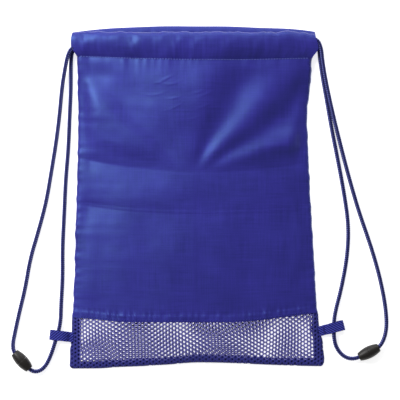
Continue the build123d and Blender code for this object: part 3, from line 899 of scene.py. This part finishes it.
# --- build: the front ---
def half_columns(side):
    """Shares across one half: 0 at the crease and 1 at the side edge, closer together near the edge."""
    fine, step = (0.0, 0.25, 0.6, 1.1, 1.8, 2.8), 1.15
    inner = np.linspace(fine[-1], SEWN_X, int((SEWN_X - fine[-1]) / step))
    shares = 1 - np.concatenate([fine[:-1], inner]) / SEWN_X
    # one more column past the crease tells how the cloth runs on
    return np.append(shares, -0.01) if side == "left" else np.insert(shares[::-1], 0, -0.01)


def half_x(side, share, y):
    """Place across for a share of one half's width."""
    edge = left_edge(y) if side == "left" else right_edge(y)
    return CREASE_X + (edge - CREASE_X) * share


PANEL_ROWS = 235
HEM_OVERLAP = 0.6  # how far the panel runs on past the hem's stitches, under the casing


def panel_half(side):
    shares = half_columns(side)[None, :]
    rows = np.linspace(0, 1, PANEL_ROWS)[:, None]
    x = half_x(side, shares, BAND_Y + (HEM_Y - BAND_Y) * rows)
    low, high = band_seam(x), hem_seam(x) + HEM_OVERLAP
    y = low + (high - low) * rows
    x = half_x(side, shares, y)
    grid = np.stack([x, y, front_height(x, y)], -1)
    piece = cloth(f"front_cloth_{side}", grid, CLOTH, TAFFETA, ghost=side)
    return piece


panels = halves(panel_half, "front_panel")


# --- build: the mesh bands ---
PITCH_X, PITCH_Y = 3.25, 4.06
OPEN_HOLE, SHUT_HOLE, BACK_HOLE, HOLE_TALL = 1.27, 0.82, 1.27, 1.08


def hex_mesh(name, low, high, place, hole, thick, keep):
    """Knitted mesh with a six-sided opening in each cell, which shares its strands with the cells round it.
    low and high are its corners in plan before place bends it, hole gives each opening's radius and keep
    says which cells are in the piece."""
    half = PITCH_Y / 2
    hexagon = np.array([
        (PITCH_X * 2 / 3, 0), (PITCH_X / 3, half), (-PITCH_X / 3, half),
        (-PITCH_X * 2 / 3, 0), (-PITCH_X / 3, -half), (PITCH_X / 3, -half),
    ])
    border = np.stack([hexagon, (hexagon + np.roll(hexagon, -1, 0)) / 2], 1).reshape(-1, 2)
    sides = len(border)
    centres = []
    for column in range(math.floor(low[0] / PITCH_X), math.ceil(high[0] / PITCH_X) + 1):
        start = math.floor(low[1] / PITCH_Y) * PITCH_Y + (half if column % 2 else 0.0)
        ys = np.arange(start, high[1] + PITCH_Y, PITCH_Y)
        centres.append(np.stack([np.full_like(ys, column * PITCH_X), ys], -1))
    centres = np.concatenate(centres)
    centres = centres[keep(centres[:, 0], centres[:, 1])]
    around = np.radians(np.arange(sides) * 360.0 / sides)
    ring = np.stack([np.cos(around), HOLE_TALL * np.sin(around)], -1)
    radius = hole(centres[:, 0], centres[:, 1])
    opening = centres[:, None] + ring[None] * radius[:, None, None]
    outer = centres[:, None] + border[None]
    middle = (opening + outer) / 2
    shared, index = np.unique(outer.reshape(-1, 2).round(3), axis=0, return_inverse=True)
    index = index.reshape(-1, sides)
    size, count = opening.shape[0] * sides, len(shared)
    inner = np.arange(size).reshape(-1, sides)
    # painted light and shade: strands round open holes are lighter, round nearly shut ones darker, and
    # darkest at the openings' edges
    painted_tone = 0.25 + 0.5 * smooth((radius - 0.6) / 0.8)
    outer_painted_tone = np.zeros(count)
    outer_painted_tone[index] = painted_tone[:, None]
    flank_painted_tone = np.repeat(painted_tone, sides)
    # the rows of points: the opening's edge, the strand's flanks over and under, and its back and belly
    points, strand = [], []
    for flat, lift, shade in (
        (opening, 0.0, np.repeat(painted_tone * 0.3, sides)), (middle, 0.42, flank_painted_tone), (middle, -0.42, flank_painted_tone),
        (shared, 0.5, outer_painted_tone), (shared, -0.5, outer_painted_tone),
    ):
        x, y, z = place(flat[..., 0].ravel(), flat[..., 1].ravel())
        points.append(np.stack([x, y, z + lift * thick], -1))
        strand.append(shade)
    flank, under = inner + size, inner + 2 * size
    back, belly = index + 3 * size, index + 3 * size + count
    faces = [
        np.stack([a, b, np.roll(b, -1, 1), np.roll(a, -1, 1)], -1).reshape(-1, 4)
        for a, b in ((inner, flank), (flank, back), (belly, under), (under, inner))
    ]
    # the outermost strands' sides
    start, end = index.ravel(), np.roll(index, -1, 1).ravel()
    alone = ~np.isin(start * count + end, end * count + start)
    start, end = start[alone] + 3 * size, end[alone] + 3 * size
    faces.append(np.stack([start, start + count, end + count, end], -1))
    points = np.concatenate(points)
    piece = add_mesh(name, points, np.concatenate(faces), points[:, :2], None, MESH)
    strand_values(piece, np.concatenate(strand))
    return piece


def inside_edges(x, y, margin):
    """Draws points that stand past the bag's bottom or side edges in to just inside them."""
    y = soft_max(y - bottom_edge(x) - margin, 0.0, 0.5) + bottom_edge(x) + margin
    left, right = left_edge(y) + margin, right_edge(y) - margin
    x = left + soft_max(x - left, 0.0, 0.5)
    return right - soft_max(right - x, 0.0, 0.5), y


def front_place(a, b):
    x = a + 0.7 * waves(a, b, 70, 31) * smooth(side_inset(a, b) / 20)
    y = b + 0.9 * waves(a, b, 80, 32) * smooth((b - BOTTOM_Y) / 14)
    x, y = inside_edges(x, y, 0.05)
    return x, y, np.maximum(front_height(x, y) - 0.75 + 0.45 * smooth((band_seam(x) - y) / 3), 0.5)


def rim_share(x, y):
    """The openings close up at the bag's very edges."""
    return 0.3 + 0.7 * smooth((np.minimum(side_inset(x, y), y - bottom_edge(x)) - 0.8) / 1.4)


def front_hole(x, y):
    """Openings are full size in the window and nearly shut where the layers are sewn together."""
    return (SHUT_HOLE + (OPEN_HOLE - SHUT_HOLE) * smooth(window_inset(x, y) / 1.2 + 0.3)) * rim_share(x, y)


def in_band(x, y, above, below, beside):
    """Whether a mesh cell's middle is in the band, or past its edges by less than these."""
    level = (y < band_seam(x) + above) & (y > bottom_edge(x) - below)
    return level & (side_inset(x, np.maximum(y, BOTTOM_Y + 3)) > -beside)


def front_mesh_half(side):
    sign = -1 if side == "left" else 1

    def keep(x, y):
        return (sign * (x - CREASE_X) >= -0.01) & in_band(x, y, 4, 1.2, 1.0)

    return hex_mesh(f"front_mesh_{side}", (-131, -175), (131, -112), front_place, front_hole, 0.55, keep)


front_meshes = halves(front_mesh_half, "front_mesh_band")

BACK_TILT = math.radians(2.6)  # the back's mesh isn't cut quite square with the front's
BAND_MIDDLE_Y = (BOTTOM_Y + BAND_Y) / 2 + 2


def tilted(x, y):
    u = x * math.cos(BACK_TILT) - (y - BAND_MIDDLE_Y) * math.sin(BACK_TILT)
    return u, BAND_MIDDLE_Y + (y - BAND_MIDDLE_Y) * math.cos(BACK_TILT) + x * math.sin(BACK_TILT)


def back_place(a, b):
    x, y = tilted(a, b)
    x, y = x + 0.9 * waves(a, b, 60, 41), y + 0.8 * waves(a, b, 75, 42)
    x, y = inside_edges(x, y, 0.35)
    y = band_seam(x) + 3.4 - soft_max(band_seam(x) + 3.4 - y, 0.0, 0.5)
    return x, y, np.full_like(x, 0.62)


def back_keep(x, y):
    return in_band(*tilted(x, y), 4.5, 1.0, 0.8)


def back_hole(x, y):
    u, v = tilted(x, y)
    return (SHUT_HOLE + (BACK_HOLE - SHUT_HOLE) * smooth(window_inset(u, v) / 1.2 + 0.9)) * rim_share(u, v)


back_mesh = hex_mesh("back_mesh", (-140, -190), (140, -104), back_place, back_hole, 0.5, back_keep)
settle(back_mesh, "back", "back_mesh_band")


# --- build: the back, its seam allowances and its casing ---
def back_cloth_piece():
    shares, rows = np.linspace(0, 1, 160)[None, :], np.linspace(0, 1, 170)[:, None]
    inset = 0.4

    def across(y):
        return left_edge(y) + inset + (right_edge(y) - left_edge(y) - 2 * inset) * shares

    x = across(BAND_Y + (HEM_Y + 1 - BAND_Y) * rows)
    low, high = band_seam(x) - 1.0, hem_seam(x) + 1.5
    y = low + (high - low) * rows
    x = across(y)
    z = 0.75 + 0.10 * waves(x, y, 40, 51) + 0.05 * waves(x, y, 14, 52)
    piece = cloth("back_cloth", np.stack([x, y, z], -1), CLOTH, LINING)
    return piece


back_cloth = settle(back_cloth_piece(), "back", "back_panel")


def allowance(name, along, low_edge, high_edge, node_name, lengthways=False):
    """A folded seam allowance: a low strip of two plies, sewn flat inside the seam, along the bag's side
    or, lengthways, its bottom."""
    shares = np.linspace(0, 1, 11)[None, :]
    place = along[:, None]
    across = low_edge(place) + (high_edge(place) - low_edge(place)) * shares
    place = np.broadcast_to(place, across.shape)
    swell = 0.55 * np.sin(math.pi * share_of(shares * 1.02)) + 0.15 * waves(place, 0, 7, 61)
    top = BINDING_TOP_Z - 0.8 + swell
    if lengthways:
        grid = np.stack([place, across, top], -1).transpose(1, 0, 2)
    else:
        grid = np.stack([across, place, top], -1)
    piece = cloth(name, np.ascontiguousarray(grid), 1.0, ALLOWANCE_SHADED)
    strand_values(piece, np.full(len(piece.data.vertices), 0.5))
    return settle(piece, "back", node_name)


INSET = 0.8  # the folds' outer edges lie this far in from the bag's


def side_places(x):
    """Places along one side, from the folded bottom up to the hem."""
    return np.linspace(bottom_edge(x) + FOOT_FOLD, HEM_Y - 2, 260)


left_allowance = allowance(
    "left_allowance", side_places(-SEWN_X), lambda y: left_edge(y) + INSET,
    lambda y: left_edge(y) + BINDING_WIDTH, "left_side_binding",
)
right_allowance = allowance(
    "right_allowance", side_places(SEWN_X), lambda y: right_edge(y) - BINDING_WIDTH + 0.3 + right_slant(y),
    lambda y: right_edge(y) - INSET, "right_side_binding",
)
bottom_allowance = allowance(
    "bottom_allowance", np.linspace(-127.5, 127.5, 240),
    lambda x: bottom_edge(x) + INSET + 3.2 * smooth((np.abs(x) - 120) / 8),
    lambda x: bottom_edge(x) + FOOT_FOLD + 0.2, "bottom_binding", lengthways=True,
)


def scallop(x):
    """1 where the hem's crest dips, as it hangs over the cord in uneven arches."""
    phase = x / 17.0 + 0.55 * np.sin(x / 23.0) + 0.3 * np.sin(x / 9.0 + 1.0)
    return 1 - np.abs(np.sin(math.pi * phase / 2)) ** 0.8


def hem_top(x, y):
    """Height of the front casing's upper face: it leaves the panel at the stitches, climbs over the cords
    and falls to its lip."""
    foot_y = np.minimum(y, hem_seam(x))
    foot_x = np.clip(x, left_edge(foot_y) + 4, right_edge(foot_y) - 4)
    seam = front_height(foot_x, foot_y) + 0.04
    share = share_of((y - hem_seam(x)) / (front_lip(x) - hem_seam(x)))
    crest_at = 0.68 - 0.16 * scallop(x)
    height = CASING_LOW_Z + CASING_THICK - 0.15 + casing_arch(x) + 0.25 * waves(x, 0, 26.0, 74)
    climb = np.sin(math.pi / 2 * share_of(share / crest_at)) ** 0.85
    fall = 1.6 * smooth((share - crest_at) / (1 - crest_at)) ** 1.2
    crease = 0.16 * waves(x, share * 2.0, 7.0, 71) * (1 - share) + 0.11 * waves(x, share * 14.0, 13.0, 72)
    return seam + (height - seam) * climb - fall + crease * smooth(share / 0.2) * smooth((1 - share) / 0.1)


def casing_grid(side, front):
    """Sections of one casing, from the crease to one end (front) or from end to end (back)."""
    # turn 0..0.5 runs over the top from the stitches to the lip, 0.5..1 comes back underneath
    turn = np.linspace(0, 1, 52, endpoint=False)[None, :]
    over = np.where(turn < 0.5, turn * 2, 2 - turn * 2)
    upper = turn < 0.5
    nominal = HEM_Y + (FRONT_TOP_Y - HEM_Y) * over
    left, right = casing_end("left", nominal), casing_end("right", nominal)
    if front:
        share = np.linspace(0, 1, 150)
        share = np.insert(share, 0, -share[1])
        share = (share[::-1] if side == "left" else share)[:, None]
        x = CREASE_X + ((left if side == "left" else right) - CREASE_X) * share
        low, high = hem_seam(x) - 0.5, front_lip(x)
    else:
        share = np.linspace(-1, 1, 230)[:, None]
        x = (left + right) / 2 + (right - left) / 2 * share
        low, high = hem_seam(x) - 1.2, back_lip(x)
    ease = 0.25 - 0.25 * np.cos(math.pi * over) + 0.5 * over
    y = low + (high - low) * ease
    bulge = rounding((ease - 0.86) / 0.14) * np.ones_like(x)
    if front:
        base = CASING_LOW_Z + 0.15 + casing_arch(x)
        top = hem_top(x, y)
        middle = base + 1.6
        base = np.minimum(base, top - 0.8)
    else:
        base = np.full_like(x, 0.45)
        bulge = bulge * rounding((0.10 - ease) / 0.10)
        rise = np.sin(math.pi / 2 * share_of(ease / 0.45))
        top = 1.3 + (CASING_THICK - 1.6) * rise - 0.9 * smooth((ease - 0.75) / 0.25)
        top = top + 0.18 * waves(x, y * 0.2, 11.0, 73) * smooth((ease - 0.6) / 0.3)
        top = np.minimum(top, CASING_THICK - 0.15)
        middle = 1.1 + 1.4 * smooth(ease)
    z = np.where(upper, middle + (top - middle) * bulge, middle + (base - middle) * bulge)
    return np.stack([x, y, z], -1)[:, ::-1]


def front_casing_half(side):
    piece = sleeve(f"front_casing_{side}", casing_grid(side, True), CLOTH, TAFFETA, side)
    return piece


casings = halves(front_casing_half, "front_hem_casing")
back_casing = sleeve("back_casing", casing_grid("", False), CLOTH, LINING)
settle(back_casing, "back", "back_hem_casing")


# --- build: stitches ---
# a stitch from its start to its end: place along, thickness and height off the cloth, as shares
STITCH = [(-1, 0.35, -0.9), (-0.72, 0.9, 0.0), (-0.25, 1.0, 0.35)]
STITCH += [(-place, swell, lift) for place, swell, lift in reversed(STITCH)]


def stitches(name, line, length, pitch, radius, lean=0.0, material=DARK_THREAD):
    """A row of single stitches along a line of points, each a short bowed thread."""
    line, at = evenly(line, 0.5)
    ahead = unit(np.gradient(line, axis=0))
    ring = np.linspace(0, math.tau, 6, endpoint=False)
    up = np.array([0.0, 0.0, 1.0])
    shape = [list(f) for f in quads(len(STITCH), 6, wrap=True)]
    shape += [list(range(5, -1, -1)), list(range(30, 36))]
    parts = []
    for start in np.arange(pitch / 2, at[-1] - pitch / 2, pitch):
        centre = np.array([np.interp(start, at, line[:, k]) for k in range(3)])
        way = np.array([np.interp(start, at, ahead[:, k]) for k in range(3)])
        way = unit(way + lean * np.cross(up, way))
        side = unit(np.cross(up, way))
        rise = np.cross(way, side)
        round_it = np.cos(ring)[:, None] * side + np.sin(ring)[:, None] * rise
        rings = []
        for place, swell, lift in STITCH:
            middle = centre + way * (place * length / 2) + rise * (lift * radius)
            rings.append(middle + radius * swell * round_it)
        parts.append((np.concatenate(rings), shape))
    points, faces = joined(parts)
    piece = add_mesh(name, points, faces, points[:, :2], None, material)
    strand_values(piece, np.full(len(points), 0.6))
    return piece


def front_stitches(kind, seam, height, offset, lift, node_name, material):
    """A row of stitches across the front, a half at a time."""
    def build(side):
        edge = CASING_LEFT + 9 if side == "left" else CASING_RIGHT - 9
        xs = np.linspace(min(edge, CREASE_X), max(edge, CREASE_X), 200)
        ys = seam(xs) + offset
        line = np.stack([xs, ys, height(xs, ys) + lift], -1)
        return stitches(f"{kind}_{side}", line, 1.7, 2.8, 0.40, 0.0, material)

    return halves(build, node_name)


hem_stitches = front_stitches("hem_stitches", hem_seam, hem_top, -0.5, 0.20, "front_hem_thread", THREAD)
band_stitches = front_stitches(
    "band_stitches", band_seam, front_height, 1.8, 0.08, "front_band_thread", DARK_THREAD,
)


def flat_stitches(name, xs, ys, z):
    """A row of stitches that lies level, in the back or inside the seams."""
    piece = stitches(f"{name}_stitches", np.stack([xs, ys, np.full(len(xs), z)], -1), 1.9, 2.6, 0.25)
    return settle(piece, "back", f"{name}_thread")


ON_BACK, ON_FOLD = BINDING_LOW_Z + 0.2, BINDING_TOP_Z - 0.18  # the threads' heights
across_xs, bottom_xs = np.linspace(-110, 105, 100), np.linspace(-120, 120, 120)
side_ys = np.linspace(BOTTOM_Y + 22, 104, 120)
*back_rows, bottom_stitches = (
    flat_stitches(*row)
    for row in (
        ("back_hem", across_xs, hem_seam(across_xs) - 1.5, ON_BACK),
        ("back_band", across_xs, band_seam(across_xs) + 1.6, ON_BACK),
        ("left_side", left_edge(side_ys) + 5, side_ys, ON_FOLD),
        ("right_side", right_edge(side_ys) - 5, side_ys, ON_FOLD),
        ("bottom", bottom_xs, bottom_edge(bottom_xs) + 4.5, ON_FOLD),
    )
)


# --- build: the side loops ---
LOOP_R = 3.6
TAPE_HALF = 5.0
RIB_PITCH = 2.1 * math.sqrt(2)


def tape_line(length):
    """The tape's path from its root over the top ply, round the fold and back, as (out, height)."""
    far = length - LOOP_R
    bend = LOOP_R - 0.55
    turn = np.radians(np.linspace(0, 180, 15))
    fold = np.column_stack([far + bend * np.sin(turn), LOOP_R + bend * np.cos(turn)])
    top = [(-3.5, 3.9), (0.0, 4.0), (2.6, 4.7), (5.2, 5.9), (7.4, 6.6), (9.6, 6.72), (far - 3, 6.68)]
    low = [(far - 3, 0.52), (9.6, 0.5), (7.4, 0.6), (5.2, 1.15), (2.6, 2.1), (0.0, 2.75), (-3.5, 2.8)]
    return np.concatenate([top, fold, low])


def loop_to_world(side, out, across):
    """Place in plan of a point given as distances out from a loop's root and across its tape."""
    root, (out_x, out_y) = PLACES[side]["root"], PLACES[side]["out"]
    return root[0] + out * out_x - across * out_y, root[1] + out * out_y + across * out_x


def loop_piece(side):
    flat = tape_line(PLACES[side]["length"])
    line, at = evenly(np.column_stack([flat[:, 0], np.zeros(len(flat)), flat[:, 1]]), 0.35)
    across = np.linspace(-TAPE_HALF, TAPE_HALF, 41)
    normal = unit(np.cross(np.gradient(line, axis=0), (0.0, 1.0, 0.0)))
    lean = -1 if side == "left" else 1
    rib = np.cos(math.tau * (at[:, None] + lean * across[None, :]) / RIB_PITCH)
    lift = (0.13 * rib + 0.06) * smooth((TAPE_HALF - np.abs(across)) / 0.5)[None, :]
    grid = line[:, None] + lift[:, :, None] * normal[:, None]
    x, y = loop_to_world(side, grid[:, :, 0], across[None, :] + 0.12 * waves(at, 0, 9, 81)[:, None])
    # rows along the tape, columns across it, so that the upper face of the grid is outside the loop
    grid = np.stack([x, y, grid[:, :, 2]], -1)[:, ::-1]
    uv = np.stack(np.broadcast_arrays(across[None, :], at[:, None]), -1).reshape(-1, 2)
    piece = cloth(f"{side}_tape_loop", grid, 0.85, TAPE, uv)
    # painted shade in the ribs' grooves and painted highlight on their crests
    strand_values(piece, np.tile((0.45 + 0.55 * rib)[:, ::-1].ravel(), 2))
    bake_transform(piece)
    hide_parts(f"{side}_side_loop")
    for i, out in enumerate((1.2, 1.9, 2.6)):
        ys = np.linspace(-3.9, 3.9, 20)
        x, y = loop_to_world(side, out, ys)
        bar = np.column_stack([x, y, np.full(20, 4.35 + 0.35 * out)])
        tack = stitches(f"{side}_tack_{i}", bar, 0.9, 0.8, 0.2, 0.6 * (-1) ** i)
        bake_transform(tack)
        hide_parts(f"{side}_loop_bar_tack")


for side in PLACES:
    loop_piece(side)
